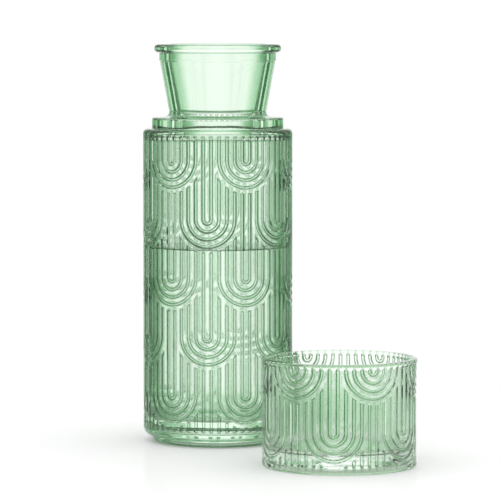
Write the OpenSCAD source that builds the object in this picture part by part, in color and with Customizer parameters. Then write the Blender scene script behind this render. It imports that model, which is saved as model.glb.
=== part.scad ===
// Bedside carafe and tumbler in pressed glass, standing side by side.
// Both are covered by raised ribs that hang in nested U shapes, in staggered rows like scales.
// Turned upside down, the tumbler drops over the neck and rests on the ledge of the body.
// The middle of the set's footprint is the origin, and +Z points up.

/* [Set] */
// Clear space between the carafe and the tumbler
set_gap = 45; // [5:1:120]
// Direction from the carafe to the tumbler, in degrees from right towards the front
set_bearing = 58.5; // [0:0.5:90]

/* [Carafe body] */
// Outer radius of the plain bands
body_r = 45; // [38:0.5:54]
// Height of the ledge above the table
body_h = 188.5; // [140:0.1:230]
// Thickness of the body's wall, ribs included
body_wall = 4; // [3:0.1:7]
// Thickness of glass under the water
body_floor = 15; // [12:0.1:20]
// Radius of the rounded corner above the foot
heel_round = 5.2; // [3:0.1:7]
// Radius of the rounded corner at the ledge
shoulder_round = 3; // [1:0.1:3.2]
// Height of the plain band under the ledge
top_band_h = 3.2; // [3:0.1:9]

/* [Carafe foot] */
// How far the foot ring stands inside the body
foot_inset = 5.7; // [5.4:0.1:9]
// Height of the foot ring
foot_h = 3.7; // [2.6:0.1:5]
// Width of the foot ring's flat and rounded edge together
foot_w = 5; // [4:0.1:9]

/* [Carafe shoulder] */
// Width of the ledge that carries the tumbler
ledge_w = 5.4; // [4.6:0.1:8]
// Height of the step ring that centres the tumbler
step_h = 6.5; // [4:0.1:10]
// Rise of the shoulder between the step ring and the neck
shoulder_rise = 1.1; // [0.6:0.1:3]

/* [Carafe neck] */
// Height of the neck above the step ring
neck_h = 44; // [34:0.1:60]
// Outer radius where the neck leaves the shoulder
neck_low_r = 28.8; // [24:0.1:32]
// Outer radius under the collar
neck_high_r = 34.7; // [33.5:0.1:35.5]
// Wall of the neck at the shoulder
neck_low_wall = 6.2; // [4:0.1:8]
// Wall of the neck at the collar
neck_high_wall = 5.6; // [3.6:0.1:7]
// Height of the collar under the lip
collar_h = 4.9; // [3:0.1:9]
// How far the collar stands out of the neck
collar_out = 0.4; // [0.2:0.1:0.5]
// Height of the lip
lip_h = 5.2; // [4.6:0.1:7]
// How far the lip stands out of the neck
lip_out = 3.4; // [2.8:0.1:4]

/* [Tumbler] */
// How far the rim stands inside the carafe's bands
rim_inset = 0.4; // [0:0.1:1]
// Gap all round between the step ring and the tumbler's bore
seat_gap = 0.5; // [0.2:0.1:1.2]
// Space left above the lip when the tumbler covers the neck
crown_gap = 1.4; // [0.8:0.1:6]
// Thickness of the tumbler's base
base_t = 10; // [6:0.1:14]
// Height of the plain rim band
rim_h = 2.3; // [1.6:0.1:5]
// Height of the plain base band
base_band_h = 4.5; // [3:0.1:7]
// How far the base band stands inside the rim
base_inset = 0.3; // [0.1:0.1:0.4]

/* [Ribs] */
// Columns of nested U shapes around each piece
columns = 12; // [10:2:16]
// Curved ribs in each U shape
nest = 4; // [3:1:5]
// Distance from one row of U shapes to the next
row_pitch = 34.85; // [28:0.05:44]
// Width of a rib
rib_w = 2.2; // [1.2:0.1:2.4]
// Height of a rib above the glass between the ribs
rib_h = 0.8; // [0.5:0.1:1.2]
// How far the carafe's ribs lie inside its plain bands
rib_inset = 0.1; // [0.05:0.05:0.5]
// How far the tumbler's ribs lie inside its rim
cup_rib_inset = 0.6; // [0.5:0.1:0.9]
// Height of the lowest row of U shapes on the carafe
body_row_z = 31.4; // [24:0.1:50]
// Height of the lowest row of U shapes on the tumbler
cup_row_z = 23.5; // [20:0.1:30]
// Turn of the carafe's pattern, in degrees from the front towards the right
body_turn = 22.5; // [-30:0.5:30]
// Turn of the tumbler's pattern, in degrees from the front towards the right
cup_turn = -5.5; // [-30:0.5:30]

/* [Hidden] */
$fn = 96;

// Small sizes of the glass: roundings, the hollow under each foot and the overlap of stacked sections
edge_round = 1.5;
rim_round = 1.1;
foot_round = 2.4;
lip_round = 2.2;
neck_root = 2.5;
cavity_low_round = 6;
cavity_high_round = 3.5;
ceiling_t = 4;
cup_floor_round = 4.5;
punt = 2.5;
root = 0.4;
cut = 1;
// Step of the grid that the ribs are laid out on
grid = 0.01;

// Carafe levels, from the table up
heel_z = foot_h + heel_round + root / 2;
ribs_top = body_h - top_band_h;
step_z = body_h + step_h;
neck_z = step_z + shoulder_rise;
top_z = step_z + neck_h;
lip_z = top_z - lip_h;
collar_z = lip_z - collar_h;

// Carafe radii
foot_r = body_r - foot_inset;
step_r = body_r - ledge_w;
bore_r = body_r - body_wall;
collar_r = neck_high_r + collar_out;
lip_r = neck_high_r + lip_out;
throat_r = neck_low_r - neck_low_wall;
mouth_r = neck_high_r - neck_high_wall;

// The body's hollow closes under the ledge
ceiling_z = body_h - ceiling_t;

// The tumbler's sizes follow from the neck that it covers and the ledge that it rests on
rim_r = body_r - rim_inset;
cup_bore_r = step_r + seat_gap;
cup_h = top_z - body_h + crown_gap + base_t;
base_r = rim_r - base_inset;
cup_ribs_top = cup_h - rim_h;

// Places of the two pieces, with the middle of their footprint at the origin
set_span = body_r + rim_r + set_gap;
lean = (body_r - rim_r) / 2;
carafe_x = -set_span * cos(set_bearing) / 2 + lean;
carafe_y = set_span * sin(set_bearing) / 2 - lean;
tumbler_x = set_span * cos(set_bearing) / 2 + lean;
tumbler_y = -set_span * sin(set_bearing) / 2 - lean;

// Angle between neighbouring ribs
rib_step = 360 / (columns * (nest + 1));

// Half section of a disc from z0 to z1, with its lower and upper edges rounded
module disc_section(r, z0, z1, low = 0, high = 0) {
    core = r - max(low, high);
    translate([0, z0]) square([core, z1 - z0]);
    translate([0, z0 + low]) square([r, z1 - z0 - low - high]);
    if (low > 0) {
        translate([0, z0]) square([r - low, low]);
        translate([r - low, z0 + low]) circle(r = low);
    }
    if (high > 0) {
        translate([0, z1 - high]) square([r - high, high]);
        translate([r - high, z1 - high]) circle(r = high);
    }
}

// Half section of a cone frustum
module cone_section(r0, z0, r1, z1) {
    polygon([[0, z0], [r0, z0], [r1, z1], [0, z1]]);
}

// Half section of the hollow curve at the foot of a wall
module root_section(r, z, round) {
    difference() {
        translate([0, z]) square([r + round, round]);
        translate([r + round, z + round]) circle(r = round);
    }
}

module carafe_outline(valley_r) {
    disc_section(foot_r, 0, foot_h + root, low = foot_round);
    disc_section(body_r, foot_h, heel_z, low = heel_round);
    disc_section(valley_r, heel_z - root, ribs_top + root);
    disc_section(body_r, ribs_top, body_h, high = shoulder_round);
    disc_section(step_r, body_h - root, step_z, high = edge_round);
    cone_section(step_r - edge_round, step_z, neck_low_r, neck_z);
    cone_section(neck_low_r, neck_z, neck_high_r, collar_z);
    root_section(neck_low_r, neck_z, neck_root);
    disc_section(collar_r, collar_z, lip_z);
    disc_section(lip_r, lip_z, top_z, low = lip_round, high = lip_round);
}

module carafe_hollow() {
    disc_section(bore_r, body_floor, ceiling_z, low = cavity_low_round, high = cavity_high_round);
    disc_section(throat_r, ceiling_z - root, neck_z);
    cone_section(throat_r, neck_z, mouth_r, collar_z);
    disc_section(mouth_r, collar_z, top_z - rim_round);
    cone_section(mouth_r, top_z - rim_round, mouth_r + rim_round, top_z);
    disc_section(mouth_r + rim_round, top_z, top_z + cut);
}

module tumbler_outline(valley_r) {
    disc_section(base_r, 0, base_band_h, low = edge_round);
    disc_section(valley_r, base_band_h - root, cup_ribs_top + root);
    disc_section(rim_r, cup_ribs_top, cup_h, high = rim_round);
}

module tumbler_hollow() {
    disc_section(cup_bore_r, base_t, cup_h - rim_round, low = cup_floor_round);
    cone_section(cup_bore_r, cup_h - rim_round, cup_bore_r + rim_round, cup_h);
    disc_section(cup_bore_r + rim_round, cup_h, cup_h + cut);
}

// Shallow hollow under a foot, which leaves a flat ring to stand on
module foot_hollow(r) {
    disc_section(r, -cut, punt);
}

// The ribs of one piece: nested U shapes on a round wall, between two plain bands.
// Row 0 is the lowest, and each row is half a column round from the row below it.
// Two more rows hang below row 0, so that their legs fill the wall down to the lower band.
module ribs(crest_r, z0, z1, row_z) {
    first_row = -2;
    last_row = ceil((z1 - row_z) / row_pitch) - 1;
    intersection() {
        translate([0, 0, z0]) cylinder(r = crest_r, h = z1 - z0);
        for (c = [0 : columns - 1])
            rotate(c * 360 / columns)
            rib_column(crest_r, z0, z1, row_z, [first_row + c % 2 : 2 : last_row]);
    }
}

// One column of U shapes, drawn flat and pushed out through the wall towards the front
module rib_column(crest_r, z0, z1, row_z, rows) {
    near = snap(crest_r * cos((nest + 1) * rib_step));
    rotate([90, 0, 0]) translate([0, 0, near])
    for (row = rows, k = [0 : nest]) {
        z = row_z + row * row_pitch;
        linear_extrude(crest_r + cut - near) {
            if (z > z0) rib_bend(reach(crest_r, k), z);
            if (k < nest) rib_legs(reach(crest_r, k), max(z, z0 - cut), leg_end(crest_r, k, row, row_z, z1));
        }
    }
}

// A size taken to the nearest step of the mould maker's grid
function snap(size) = round(size / grid) * grid;

// Sideways distance of rib k from the middle of its U shape
function reach(crest_r, k) = snap(crest_r * sin(k * rib_step));

// Height at which rib k of a U shape in the given row meets the outermost bend above it
function leg_end(crest_r, k, row, row_z, z1) =
    let (
        above = k < 2 ? 2 : 1,
        across = k < 2 ? k : nest + 1 - k,
        z = row_z + (row + above) * row_pitch,
        drop = sqrt(pow(reach(crest_r, nest), 2) - pow(reach(crest_r, across), 2))
    )
    z < z1 ? snap(z - drop) : z1 + cut;

// The bend of one rib around the middle of its U shape, or the round end of the middle rib
module rib_bend(r, z) {
    side = r + rib_w;
    translate([0, z])
    if (r == 0) circle(d = rib_w);
    else intersection() {
        difference() {
            circle(r = r + rib_w / 2);
            circle(r = r - rib_w / 2);
        }
        translate([-side, -side]) square([2 * side, side]);
    }
}

// The straight legs of one rib. The outermost rib has none: it runs on as a leg of the next column.
module rib_legs(r, low_z, high_z) {
    if (high_z > low_z + rib_w)
        for (side = r == 0 ? [1] : [-1, 1])
            translate([side * r - rib_w / 2, low_z]) square([rib_w, high_z - low_z]);
}

module carafe() {
    crest_r = body_r - rib_inset;
    color([0.56, 0.78, 0.60, 0.6])
    translate([carafe_x, carafe_y, 0])
    rotate(body_turn)
    difference() {
        union() {
            rotate_extrude() carafe_outline(crest_r - rib_h);
            ribs(crest_r, heel_z, ribs_top, body_row_z);
        }
        rotate_extrude() carafe_hollow();
        rotate_extrude() foot_hollow(foot_r - foot_w);
    }
}

module tumbler() {
    crest_r = rim_r - cup_rib_inset;
    color([0.62, 0.84, 0.66, 0.6])
    translate([tumbler_x, tumbler_y, 0])
    rotate(cup_turn)
    difference() {
        union() {
            rotate_extrude() tumbler_outline(crest_r - rib_h);
            ribs(crest_r, base_band_h, cup_ribs_top, cup_row_z);
        }
        rotate_extrude() tumbler_hollow();
        rotate_extrude() foot_hollow(base_r - foot_w);
    }
}

carafe();
tumbler();
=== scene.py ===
import math

import bpy
import numpy as np
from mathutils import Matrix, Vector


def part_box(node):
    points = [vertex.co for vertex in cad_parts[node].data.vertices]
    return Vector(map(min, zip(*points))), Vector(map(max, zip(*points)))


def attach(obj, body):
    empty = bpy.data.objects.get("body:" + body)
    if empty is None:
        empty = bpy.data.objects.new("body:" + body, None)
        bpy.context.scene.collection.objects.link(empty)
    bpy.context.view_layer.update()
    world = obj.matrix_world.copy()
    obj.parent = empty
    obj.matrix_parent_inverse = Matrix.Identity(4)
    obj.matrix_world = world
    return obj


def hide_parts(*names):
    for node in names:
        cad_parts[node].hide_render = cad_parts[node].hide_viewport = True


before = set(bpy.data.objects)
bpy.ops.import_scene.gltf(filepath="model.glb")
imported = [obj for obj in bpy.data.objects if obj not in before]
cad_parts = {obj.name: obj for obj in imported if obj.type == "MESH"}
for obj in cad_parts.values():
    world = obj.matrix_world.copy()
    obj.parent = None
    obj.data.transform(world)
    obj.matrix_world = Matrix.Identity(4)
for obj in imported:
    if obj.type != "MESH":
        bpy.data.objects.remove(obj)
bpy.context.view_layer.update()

MM = 0.001

# Roundings of both pieces
CREASE = 0.5 * MM
RIM_ROUND = 1.1 * MM
EDGE_ROUND = 1.5 * MM
LIP_ROUND = 2.2 * MM
FOOT_ROUND = 2.4 * MM
NECK_ROOT = 2.5 * MM
SHOULDER_ROUND = 3.0 * MM
HEEL_ROUND = 5.2 * MM
CAVITY_LOW_ROUND = 6.0 * MM
CAVITY_HIGH_ROUND = 3.5 * MM
TUMBLER_FLOOR_ROUND = 4.5 * MM

# Ring that each piece stands on, and the hollow inside it
FOOT_W = 5.0 * MM
PUNT = 2.5 * MM

# Carafe, from the table up
FOOT_INSET = 5.7 * MM
FOOT_H = 3.7 * MM
BODY_FLOOR = 15.0 * MM
BODY_WALL = 4.0 * MM
BODY_H = 188.5 * MM
TOP_BAND_H = 3.2 * MM
CEILING_T = 4.0 * MM
LEDGE_W = 5.4 * MM
STEP_H = 6.5 * MM
SHOULDER_RISE = 1.1 * MM
NECK_LOW_R = 28.8 * MM
NECK_LOW_WALL = 6.2 * MM
NECK_HIGH_R = 34.7 * MM
NECK_HIGH_WALL = 5.6 * MM
COLLAR_H = 4.9 * MM
COLLAR_OUT = 0.4 * MM
LIP_H = 5.2 * MM
LIP_OUT = 3.4 * MM

# Tumbler, from the table up
BASE_INSET = 0.3 * MM
BASE_BAND_H = 4.5 * MM
BASE_T = 10.0 * MM
TUMBLER_WALL = 4.5 * MM
RIM_H = 2.3 * MM

# Ribs of both pieces: nests of U shapes, from the middle leg at 0 to the outermost rib at NEST
COLUMNS = 12
NEST = 4
RIB_STEP = 2 * math.pi / (COLUMNS * (NEST + 1))
ROW_PITCH = 34.85 * MM
FIRST_ROW = -2
RIB_DEPTH = 0.8 * MM
# Where a crest ends and where a valley starts, as shares of a rib's pitch from the middle of the crest
CREST_END = 0.2
VALLEY_START = 0.42
# How far the crests lie inside the plain bands, and the height over which the ribs run out into them
BODY_RIB_INSET = 0.1 * MM
TUMBLER_RIB_INSET = 0.6 * MM
FADE = 0.9 * MM
# Height at which the legs of row 0 turn into its bends, and the direction that one of its nests faces
BODY_ROW_Z = 31.4 * MM
BODY_TURN = math.radians(22.5)
TUMBLER_ROW_Z = 23.5 * MM
TUMBLER_TURN = math.radians(-5.5)

# Meshes
AROUND = 720
ROW_STEP = 0.5 * MM
ARC_STEP = math.radians(15)
SLOPE_STEP = 0.05 * MM
UPRIGHT = 0.99
BOX_MARGIN = 0.01 * MM

# Water in the carafe. It reaches slightly into the glass, so no gap shows, and climbs the wall a little
WATER_Z = 117.2 * MM
WATER_OVERLAP = 0.05 * MM
MENISCUS_H = 1.6 * MM
MENISCUS_W = 0.15 * MM
MENISCUS_ROUND = 1.44 * MM

# Glass. The first two ramps run over the ribs: a light valley at 0, then painted shade on the flanks, and a
# painted highlight that rises to white at the crest at 1.
# Plain glass takes its own colour from the same ramps, at one height outside and at another inside
WHITE = (1.0, 1.0, 1.0)
BLACK = (0.0, 0.0, 0.0)
OUTSIDE_PLAIN = 0.7
INSIDE_PLAIN = 0.8
CARAFE_TINT_AND_RIB_SHADE = [
    (0.0, (0.74, 0.88, 0.75)),
    (0.08, (0.20, 0.35, 0.21)),
    (0.56, (0.20, 0.35, 0.21)),
    (OUTSIDE_PLAIN, (0.82, 0.94, 0.825)),
    (INSIDE_PLAIN, (0.98, 1.0, 0.98)),
    (1.0, WHITE),
]
TUMBLER_TINT_AND_RIB_SHADE = [
    (0.0, (0.84, 0.97, 0.84)),
    (0.08, (0.24, 0.47, 0.25)),
    (0.5, (0.24, 0.47, 0.25)),
    (OUTSIDE_PLAIN, (0.78, 0.97, 0.78)),
    (INSIDE_PLAIN, (0.95, 1.0, 0.95)),
    (1.0, WHITE),
]
# Ramps over the slant at which light meets the wall: the more slanted, the darker, partly for the longer
# way through the glass and partly as painted shade that darkens the sides and the rib flanks
CARAFE_SLANT = [(0.18, WHITE), (0.5, (0.28, 0.56, 0.31)), (1.0, (0.05, 0.24, 0.08))]
TUMBLER_SLANT = [(0.5, WHITE), (0.9, (0.60, 0.95, 0.62)), (1.0, (0.34, 0.70, 0.37))]
SLANT_BLEND = 0.5
REFLECTION_TINT = (0.7, 1.0, 0.75)
GLASS_FADE = (0.35, 0.90, 0.42)
CARAFE_DENSITY = 3.0
TUMBLER_DENSITY = 1.7
GLASS_IOR = 1.5
# Roughness of the inner walls behind the ribs, where the plunger of the mould pressed
CARAFE_BLUR = 0.11
TUMBLER_BLUR = 0.15
# Faint waves of the pressed surface
WAVE_SCALE = 90.0
WAVE_DETAIL = 2.0
WAVE_STRENGTH = 0.12
WAVE_HEIGHT = 0.4 * MM
WATER_IOR = 1.33

# Studio: broad white panels at every quarter turn, a slim one between each two, and darker gaps.
# The ramps run from the middle of a broad panel, at 0, to the middle of a slim one, at 1.
# The wall is what the glass sees above the far edge of the table, and the table is what it sees below
QUARTERS = 4
GAP = (0.04, 0.16, 0.06)
WALL_NEAR = (0.42, 0.60, 0.44)
WALL_FAR = (0.28, 0.48, 0.30)
TABLE_NEAR = (0.84, 0.96, 0.86)
TABLE_FAR = (0.06, 0.16, 0.075)
WALL_LEVELS = [(0.24, WHITE), (0.4, WALL_NEAR), (0.7, WALL_FAR), (0.86, GAP), (0.92, WHITE)]
TABLE_LEVELS = [(0.48, WHITE), (0.58, TABLE_NEAR), (0.66, TABLE_FAR), (0.9, GAP), (0.96, WHITE)]
# Shares over the height of a direction, from straight down at 0 to straight up at 1
WALL_SHARE = [(0.458, BLACK), (0.47, WHITE)]
CEILING_SHARE = [(0.6, BLACK), (0.7, (0.4, 0.4, 0.4)), (0.9, WHITE)]
PANEL_LIGHT = 1.12
PLAIN_LIGHT = 1.0

# Floor
FLOOR_R = 0.32
FLOOR_SIDES = 96
FLOOR_GLOSS = 0.08
FLOOR_ROUGHNESS = 0.12
FLOOR_LIFT = 0.1
# Only rays with fewer diffuse bounces than this see the lift
LIFT_BOUNCES = 0.5

# Camera, fitted to the photograph. The horizon is counted from the top of the picture
FRAME_PX = 500
FOCAL_PX = 3400
HORIZON_PX = 5
SENSOR = 36.0
CAMERA_BACK = 2.044
CAMERA_SIDE = 19.4 * MM
CAMERA_UP = 262.3 * MM


def smooth(x):
    """0 below 0, 1 above 1 and a smooth rise between them."""
    x = np.clip(x, 0, 1)
    return x * x * (3 - 2 * x)


def fillet(before, corner, after, radius):
    """Rings (radius, height, normal out, normal up) along the arc that rounds one corner of an outline."""
    into = np.subtract(corner, before)
    away = np.subtract(after, corner)
    into /= np.linalg.norm(into)
    away /= np.linalg.norm(away)
    turn = math.atan2(into[0] * away[1] - into[1] * away[0], into @ away)
    bend = math.copysign(radius, turn)
    start = corner - into * radius * math.tan(abs(turn) / 2)
    normal = np.array([into[1], -into[0]])
    centre = start - bend * normal
    steps = max(2, round(abs(turn) / ARC_STEP))
    rings = []
    for a in np.linspace(0, turn, steps + 1):
        out = normal[0] * math.cos(a) - normal[1] * math.sin(a)
        up = normal[0] * math.sin(a) + normal[1] * math.cos(a)
        rings.append((centre[0] + bend * out, centre[1] + bend * up, out, up))
    return rings


def outline(*corners):
    """Rings along an outline that starts and ends on the axis, facing down first and up last.
    Each corner between is (radius, height, rounding)."""
    rings = [(*corners[0], 0.0, -1.0)]
    for before, (r, z, rounding), after in zip(corners, corners[1:-1], corners[2:]):
        rings += fillet(before[:2], (r, z), after[:2], rounding)
    return rings + [(*corners[-1], 0.0, 1.0)]


def with_wall(rings, low, high):
    """The rings with more of them on the upright outer wall from low to high, close enough for its ribs."""
    above = next(i for i, ring in enumerate(rings) if ring[1] > high and ring[2] > UPRIGHT)
    heights = np.linspace(low, high, math.ceil((high - low) / ROW_STEP) + 1)
    wall = [(rings[above][0], z, 1.0, 0.0) for z in heights[1:-1]]
    return rings[:above] + wall + rings[above:]


def crest(pitches):
    """Height of the ribs, from 0 to 1, at a distance counted in rib pitches from the middle of a nest."""
    away = np.abs(pitches - np.round(pitches))
    return 1 - smooth((away - CREST_END) / (VALLEY_START - CREST_END))


def rib_height(angle, z, wall_r, row_z, top):
    """Height of the nested U ribs, from 0 to 1. Each row lies over the legs of the rows below it,
    and every other row is turned by one column."""
    height = np.zeros(np.broadcast(angle, z).shape)
    column = 2 * math.pi / COLUMNS
    for row in range(FIRST_ROW, math.ceil((top - row_z) / ROW_PITCH)):
        turn = (angle - (row % 2) * column + column) % (2 * column) - column
        down = np.minimum(z - row_z - row * ROW_PITCH, 0) / wall_r
        pitches = np.arcsin(np.minimum(np.hypot(np.sin(turn), down), 1)) / RIB_STEP
        own = crest(pitches)
        flank = np.where(pitches < NEST + 0.5, np.maximum(height, own), height)
        height = np.where(pitches <= NEST, own, flank)
    return height


def relief(crest_r, low_r, low, high_r, high, row_z, turn):
    """A function of angle and height that gives the radius of a ribbed wall between two plain bands."""
    def radius(angle, z):
        inside = smooth((z - low) / FADE) * smooth((high - z) / FADE)
        band_r = np.where(z < (low + high) / 2, low_r, high_r)
        ribs_r = crest_r - RIB_DEPTH * (1 - rib_height(angle - turn, z, crest_r, row_z, high))
        return band_r + inside * (ribs_r - band_r)
    return radius


def turned(name, rings, axis, turn=0.0, wall=None, low=0.0, high=0.0):
    """A closed skin turned about an upright axis. If wall is given, it shapes the upright outer wall from
    low to high. The point attribute relief keeps how high each point lies on the ribs, or which side of
    the plain glass it is on."""
    angle = turn + np.arange(AROUND) * 2 * math.pi / AROUND
    right = np.sin(angle)
    back = -np.cos(angle)
    still = np.zeros(AROUND)
    points = [[*axis, rings[0][1]]]
    normals = [[0.0, 0.0, -1.0]]
    on_ribs = [OUTSIDE_PLAIN]
    for r, z, out, up in rings[1:-1]:
        radius = still + r
        lean = still
        rise = still + up
        raised = still + (INSIDE_PLAIN if out < 0 else OUTSIDE_PLAIN)
        if wall and low < z < high and out > UPRIGHT:
            radius = wall(angle, z)
            raised = 1 - (radius.max() - radius) / RIB_DEPTH
            lean = (wall(angle - SLOPE_STEP / r, z) - wall(angle + SLOPE_STEP / r, z)) / (2 * SLOPE_STEP)
            rise = (wall(angle, z - SLOPE_STEP) - wall(angle, z + SLOPE_STEP)) / (2 * SLOPE_STEP)
        points += np.column_stack([axis[0] + radius * right, axis[1] + radius * back, still + z]).tolist()
        normals += np.column_stack([out * right - lean * back, out * back + lean * right, rise]).tolist()
        on_ribs += raised.tolist()
    points.append([*axis, rings[-1][1]])
    normals.append([0.0, 0.0, 1.0])
    on_ribs.append(INSIDE_PLAIN)
    here = np.arange(AROUND)
    there = (here + 1) % AROUND
    faces = np.column_stack([0 * here, 1 + there, 1 + here]).tolist()
    for i in range(len(rings) - 3):
        lower = 1 + i * AROUND
        upper = lower + AROUND
        faces += np.column_stack([lower + here, lower + there, upper + there, upper + here]).tolist()
    last = len(points) - 1
    faces += np.column_stack([0 * here + last, last - AROUND + here, last - AROUND + there]).tolist()
    mesh = bpy.data.meshes.new(name)
    mesh.from_pydata(points, [], faces)
    mesh.shade_smooth()
    mesh.normals_split_custom_set_from_vertices(normals)
    mesh.attributes.new("relief", "FLOAT", "POINT").data.foreach_set("value", on_ribs)
    piece = bpy.data.objects.new(name, mesh)
    bpy.context.scene.collection.objects.link(piece)
    return piece


def soften(piece, axis, r, low, high):
    """Gives the faces within a radius and between two heights the piece's second material."""
    faces = piece.data.polygons
    centres = np.empty(3 * len(faces))
    faces.foreach_get("center", centres)
    x, y, z = centres.reshape(-1, 3).T
    inner = (np.hypot(x - axis[0], y - axis[1]) < r) & (z > low) & (z < high)
    faces.foreach_set("material_index", inner.astype(int))


def place(node):
    """Axis, outer radius and height of a round CAD node, from its box. The radius is a hair smaller,
    so that the skin stays inside the box."""
    low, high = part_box(node)
    middle = (low + high) / 2
    return (middle.x, middle.y), (high.x - low.x) / 2 - BOX_MARGIN, high.z


def make_carafe():
    """The carafe's skin, up its outside from the foot to the lip and down its inside to the floor."""
    axis, body_r, top = place("carafe")
    foot_r = body_r - FOOT_INSET
    step_r = body_r - LEDGE_W
    step_z = BODY_H + STEP_H
    neck_z = step_z + SHOULDER_RISE
    lip_z = top - LIP_H
    collar_z = lip_z - COLLAR_H
    bore_r = body_r - BODY_WALL
    throat_r = NECK_LOW_R - NECK_LOW_WALL
    mouth_r = NECK_HIGH_R - NECK_HIGH_WALL
    ceiling_z = BODY_H - CEILING_T
    low = FOOT_H + HEEL_ROUND
    high = BODY_H - TOP_BAND_H
    rings = outline(
        (0, PUNT),
        (foot_r - FOOT_W, PUNT, CREASE),
        (foot_r - FOOT_W, 0, CREASE),
        (foot_r, 0, FOOT_ROUND),
        (foot_r, FOOT_H, CREASE / 2),
        (body_r, FOOT_H, HEEL_ROUND),
        (body_r, BODY_H, SHOULDER_ROUND),
        (step_r, BODY_H, CREASE),
        (step_r, step_z, EDGE_ROUND),
        (NECK_LOW_R, neck_z, NECK_ROOT),
        (NECK_HIGH_R, collar_z, CREASE / 2),
        (NECK_HIGH_R + COLLAR_OUT, collar_z + CREASE, CREASE / 2),
        (NECK_HIGH_R + COLLAR_OUT, lip_z, CREASE),
        (NECK_HIGH_R + LIP_OUT, lip_z, LIP_ROUND),
        (NECK_HIGH_R + LIP_OUT, top, LIP_ROUND),
        (mouth_r, top, RIM_ROUND),
        (mouth_r, collar_z, CREASE),
        (throat_r, neck_z, CREASE),
        (throat_r, ceiling_z, CREASE),
        (bore_r, ceiling_z, CAVITY_HIGH_ROUND),
        (bore_r, BODY_FLOOR, CAVITY_LOW_ROUND),
        (0, BODY_FLOOR),
    )
    wall = relief(body_r - BODY_RIB_INSET, body_r, low, body_r, high, BODY_ROW_Z, BODY_TURN)
    piece = turned("carafe_glass", with_wall(rings, low, high), axis, BODY_TURN, wall, low, high)
    soften(piece, axis, bore_r + RIB_DEPTH, BODY_FLOOR + CREASE, ceiling_z - CREASE)
    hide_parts("carafe")
    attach(piece, "carafe")
    return piece


def make_water():
    """The water's skin, from under its floor up the carafe's wall to the surface."""
    axis, body_r, _ = place("carafe")
    r = body_r - BODY_WALL + WATER_OVERLAP
    shore_z = WATER_Z + MENISCUS_H
    floor_z = BODY_FLOOR - WATER_OVERLAP
    rings = outline(
        (0, floor_z),
        (r, floor_z, CAVITY_LOW_ROUND),
        (r, shore_z, WATER_OVERLAP),
        (r - MENISCUS_W, shore_z, WATER_OVERLAP),
        (r - MENISCUS_W, WATER_Z, MENISCUS_ROUND),
        (0, WATER_Z),
    )
    piece = turned("water", rings, axis)
    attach(piece, "carafe")
    return piece


def make_tumbler():
    """The tumbler's skin, up its outside from the base to the rim and down its inside to the floor."""
    axis, rim_r, top = place("tumbler")
    base_r = rim_r - BASE_INSET
    bore_r = rim_r - TUMBLER_WALL
    low = BASE_BAND_H
    high = top - RIM_H
    rings = outline(
        (0, PUNT),
        (base_r - FOOT_W, PUNT, CREASE),
        (base_r - FOOT_W, 0, CREASE),
        (base_r, 0, EDGE_ROUND),
        (rim_r, top, RIM_ROUND),
        (bore_r, top, RIM_ROUND),
        (bore_r, BASE_T, TUMBLER_FLOOR_ROUND),
        (0, BASE_T),
    )
    low_r = base_r + BASE_INSET * low / top
    high_r = base_r + BASE_INSET * high / top
    wall = relief(rim_r - TUMBLER_RIB_INSET, low_r, low, high_r, high, TUMBLER_ROW_Z, TUMBLER_TURN)
    piece = turned("tumbler_glass", with_wall(rings, low, high), axis, TUMBLER_TURN, wall, low, high)
    soften(piece, axis, bore_r + RIB_DEPTH, BASE_T + CREASE, high)
    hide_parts("tumbler")
    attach(piece, "tumbler")
    return piece


def plug(tree, sockets, inputs):
    """Sets each named or numbered socket to a number or a colour, or links another socket to it."""
    for key, value in inputs.items():
        if isinstance(value, bpy.types.NodeSocket):
            tree.links.new(value, sockets[key])
        elif isinstance(value, tuple):
            sockets[key].default_value = (*value, 1)
        else:
            sockets[key].default_value = value


def add_node(tree, kind, inputs=None, **settings):
    """A new shader node with its settings made and its inputs set or linked."""
    node = tree.nodes.new("ShaderNode" + kind)
    for setting, value in settings.items():
        setattr(node, setting, value)
    plug(tree, node.inputs, inputs or {})
    return node


def ramp(tree, stops, value):
    """The colour of a ramp at a value from 0 to 1."""
    node = add_node(tree, "ValToRGB", {"Fac": value})
    elements = node.color_ramp.elements
    while len(elements) < len(stops):
        elements.new(0.5)
    for element, (at, colour) in zip(elements, stops):
        element.position = at
        element.color = (*colour, 1)
    return node.outputs["Color"]


def maths(tree, operation, *values):
    """The result of a Math node over numbers and sockets."""
    return add_node(tree, "Math", dict(enumerate(values)), operation=operation).outputs[0]


def mix_colours(tree, factor, a, b, blend="MIX"):
    """The colour a at factor 0 and b at factor 1. With the blend MULTIPLY, factor 1 gives their product."""
    inputs = {"Factor": factor, "A": a, "B": b}
    return add_node(tree, "Mix", inputs, data_type="RGBA", blend_type=blend).outputs["Result"]


def mix_shaders(tree, factor, a, b):
    """The shader a at factor 0 and b at factor 1."""
    return add_node(tree, "MixShader", {"Fac": factor, 1: a, 2: b}).outputs[0]


def new_material(name):
    """A material with its node tree, its Principled shader and its output."""
    material = bpy.data.materials.new(name)
    material.use_nodes = True
    tree = material.node_tree
    return material, tree, tree.nodes["Principled BSDF"], tree.nodes["Material Output"]


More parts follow.
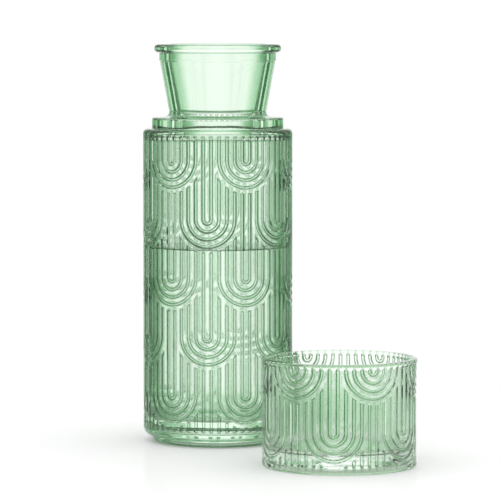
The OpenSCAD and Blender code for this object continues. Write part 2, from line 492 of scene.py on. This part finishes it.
def pressed_glass(name, tint_and_rib_shade, slants, density, roughness):
    """Clear pale green glass that darkens with its thickness, with the faint waves of a pressed surface.
    Its colour also carries painted highlights on the rib crests, painted shade on the rib flanks and
    painted shade where a wall is seen slanted.
    """
    material, tree, shader, output = new_material(name)
    raised = add_node(tree, "Attribute", attribute_name="relief")
    slant = add_node(tree, "LayerWeight", {"Blend": SLANT_BLEND})
    # painted highlights on the rib crests and painted shade on their flanks, by rib height; plain glass
    # takes its own tint here
    rib_shade_and_tint = ramp(tree, tint_and_rib_shade, raised.outputs["Fac"])
    # darker where the wall is seen slanted: partly the longer way through the glass, partly painted shade
    # on the sides and rib flanks
    slant_fade_and_shade = ramp(tree, slants, slant.outputs["Facing"])
    position = add_node(tree, "TexCoord").outputs["Object"]
    waves = add_node(tree, "TexNoise", {"Vector": position, "Scale": WAVE_SCALE, "Detail": WAVE_DETAIL})
    swell = {"Strength": WAVE_STRENGTH, "Distance": WAVE_HEIGHT, "Height": waves.outputs["Fac"]}
    plug(tree, shader.inputs, {
        "Base Color": mix_colours(tree, 1.0, rib_shade_and_tint, slant_fade_and_shade, "MULTIPLY"),
        "Roughness": roughness,
        "IOR": GLASS_IOR,
        "Specular Tint": REFLECTION_TINT,
        "Transmission Weight": 1.0,
        "Normal": add_node(tree, "Bump", swell).outputs["Normal"],
    })
    fade = add_node(tree, "VolumeAbsorption", {"Color": GLASS_FADE, "Density": density})
    plug(tree, output.inputs, {"Volume": fade.outputs["Volume"]})
    return material


def clear_water():
    """Colourless water, which bends light less than glass does."""
    material, tree, shader, _ = new_material("water")
    clear = {"Base Color": WHITE, "Roughness": 0.0, "IOR": WATER_IOR, "Transmission Weight": 1.0}
    plug(tree, shader.inputs, clear)
    return material


def make_world():
    """Plain white for the camera and for what lights the floor. The glass sees a white studio with
    upright panels round it and darker gaps between."""
    world = bpy.data.worlds.new("studio")
    bpy.context.scene.world = world
    world.use_nodes = True
    tree = world.node_tree
    tree.nodes.clear()
    direction = add_node(tree, "TexCoord").outputs["Generated"]
    split = add_node(tree, "SeparateXYZ", {"Vector": direction})
    azimuth = maths(tree, "ARCTAN2", split.outputs["X"], split.outputs["Y"])
    quarters = maths(tree, "MULTIPLY", azimuth, QUARTERS / (2 * math.pi))
    part = maths(tree, "MULTIPLY", maths(tree, "PINGPONG", quarters, 0.5), 2.0)
    height = maths(tree, "MULTIPLY_ADD", split.outputs["Z"], 0.5, 0.5)
    table = ramp(tree, TABLE_LEVELS, part)
    wall = ramp(tree, WALL_LEVELS, part)
    sides = mix_colours(tree, ramp(tree, WALL_SHARE, height), table, wall)
    studio = mix_colours(tree, ramp(tree, CEILING_SHARE, height), sides, WHITE)
    panels = add_node(tree, "Background", {"Color": studio, "Strength": PANEL_LIGHT})
    plain = add_node(tree, "Background", {"Color": WHITE, "Strength": PLAIN_LIGHT})
    rays = add_node(tree, "LightPath").outputs
    lit = mix_shaders(tree, rays["Diffuse Depth"], panels.outputs[0], plain.outputs[0])
    seen = mix_shaders(tree, rays["Is Camera Ray"], lit, plain.outputs[0])
    add_node(tree, "OutputWorld", {"Surface": seen})


def make_floor():
    """A white disc with a faint gloss. Wherever it is seen and not only lights other things, its material
    adds a little white, so that it meets the white background without an edge."""
    turns = [2 * math.pi * i / FLOOR_SIDES for i in range(FLOOR_SIDES)]
    rim = [(FLOOR_R * math.cos(turn), FLOOR_R * math.sin(turn), 0) for turn in turns]
    mesh = bpy.data.meshes.new("floor")
    mesh.from_pydata(rim, [], [range(FLOOR_SIDES)])
    floor = bpy.data.objects.new("floor", mesh)
    bpy.context.scene.collection.objects.link(floor)
    material, tree, shader, output = new_material("floor")
    tree.nodes.remove(shader)
    matt = add_node(tree, "BsdfDiffuse", {"Color": WHITE})
    gloss = add_node(tree, "BsdfGlossy", {"Roughness": FLOOR_ROUGHNESS})
    both = mix_shaders(tree, FLOOR_GLOSS, matt.outputs[0], gloss.outputs[0])
    bounces = add_node(tree, "LightPath").outputs["Diffuse Depth"]
    in_view = maths(tree, "LESS_THAN", bounces, LIFT_BOUNCES)
    glow = add_node(tree, "Emission", {"Strength": maths(tree, "MULTIPLY", in_view, FLOOR_LIFT)})
    lifted = add_node(tree, "AddShader", {0: both, 1: glow.outputs[0]})
    plug(tree, output.inputs, {"Surface": lifted.outputs[0]})
    mesh.materials.append(material)


def make_camera():
    """The camera looks along +Y, tipped down so that the horizon lies where the photograph has it."""
    axis, _, _ = place("carafe")
    camera = bpy.data.cameras.new("camera")
    camera.lens = FOCAL_PX / FRAME_PX * SENSOR
    camera.sensor_width = SENSOR
    eye = bpy.data.objects.new("camera", camera)
    eye.location = (axis[0] + CAMERA_SIDE, axis[1] - CAMERA_BACK, CAMERA_UP)
    tip = math.atan((FRAME_PX / 2 - HORIZON_PX) / FOCAL_PX)
    eye.rotation_euler = (math.pi / 2 - tip, 0, 0)
    bpy.context.scene.collection.objects.link(eye)
    bpy.context.scene.camera = eye


for piece, tint_and_rib_shade, slants, density, blur in (
    (make_carafe(), CARAFE_TINT_AND_RIB_SHADE, CARAFE_SLANT, CARAFE_DENSITY, CARAFE_BLUR),
    (make_tumbler(), TUMBLER_TINT_AND_RIB_SHADE, TUMBLER_SLANT, TUMBLER_DENSITY, TUMBLER_BLUR),
):
    for name, roughness in ((piece.name, 0.0), (piece.name + "_inside", blur)):
        piece.data.materials.append(pressed_glass(name, tint_and_rib_shade, slants, density, roughness))
make_water().data.materials.append(clear_water())
make_floor()
make_world()
make_camera()
bpy.context.scene.view_settings.view_transform = "Standard"
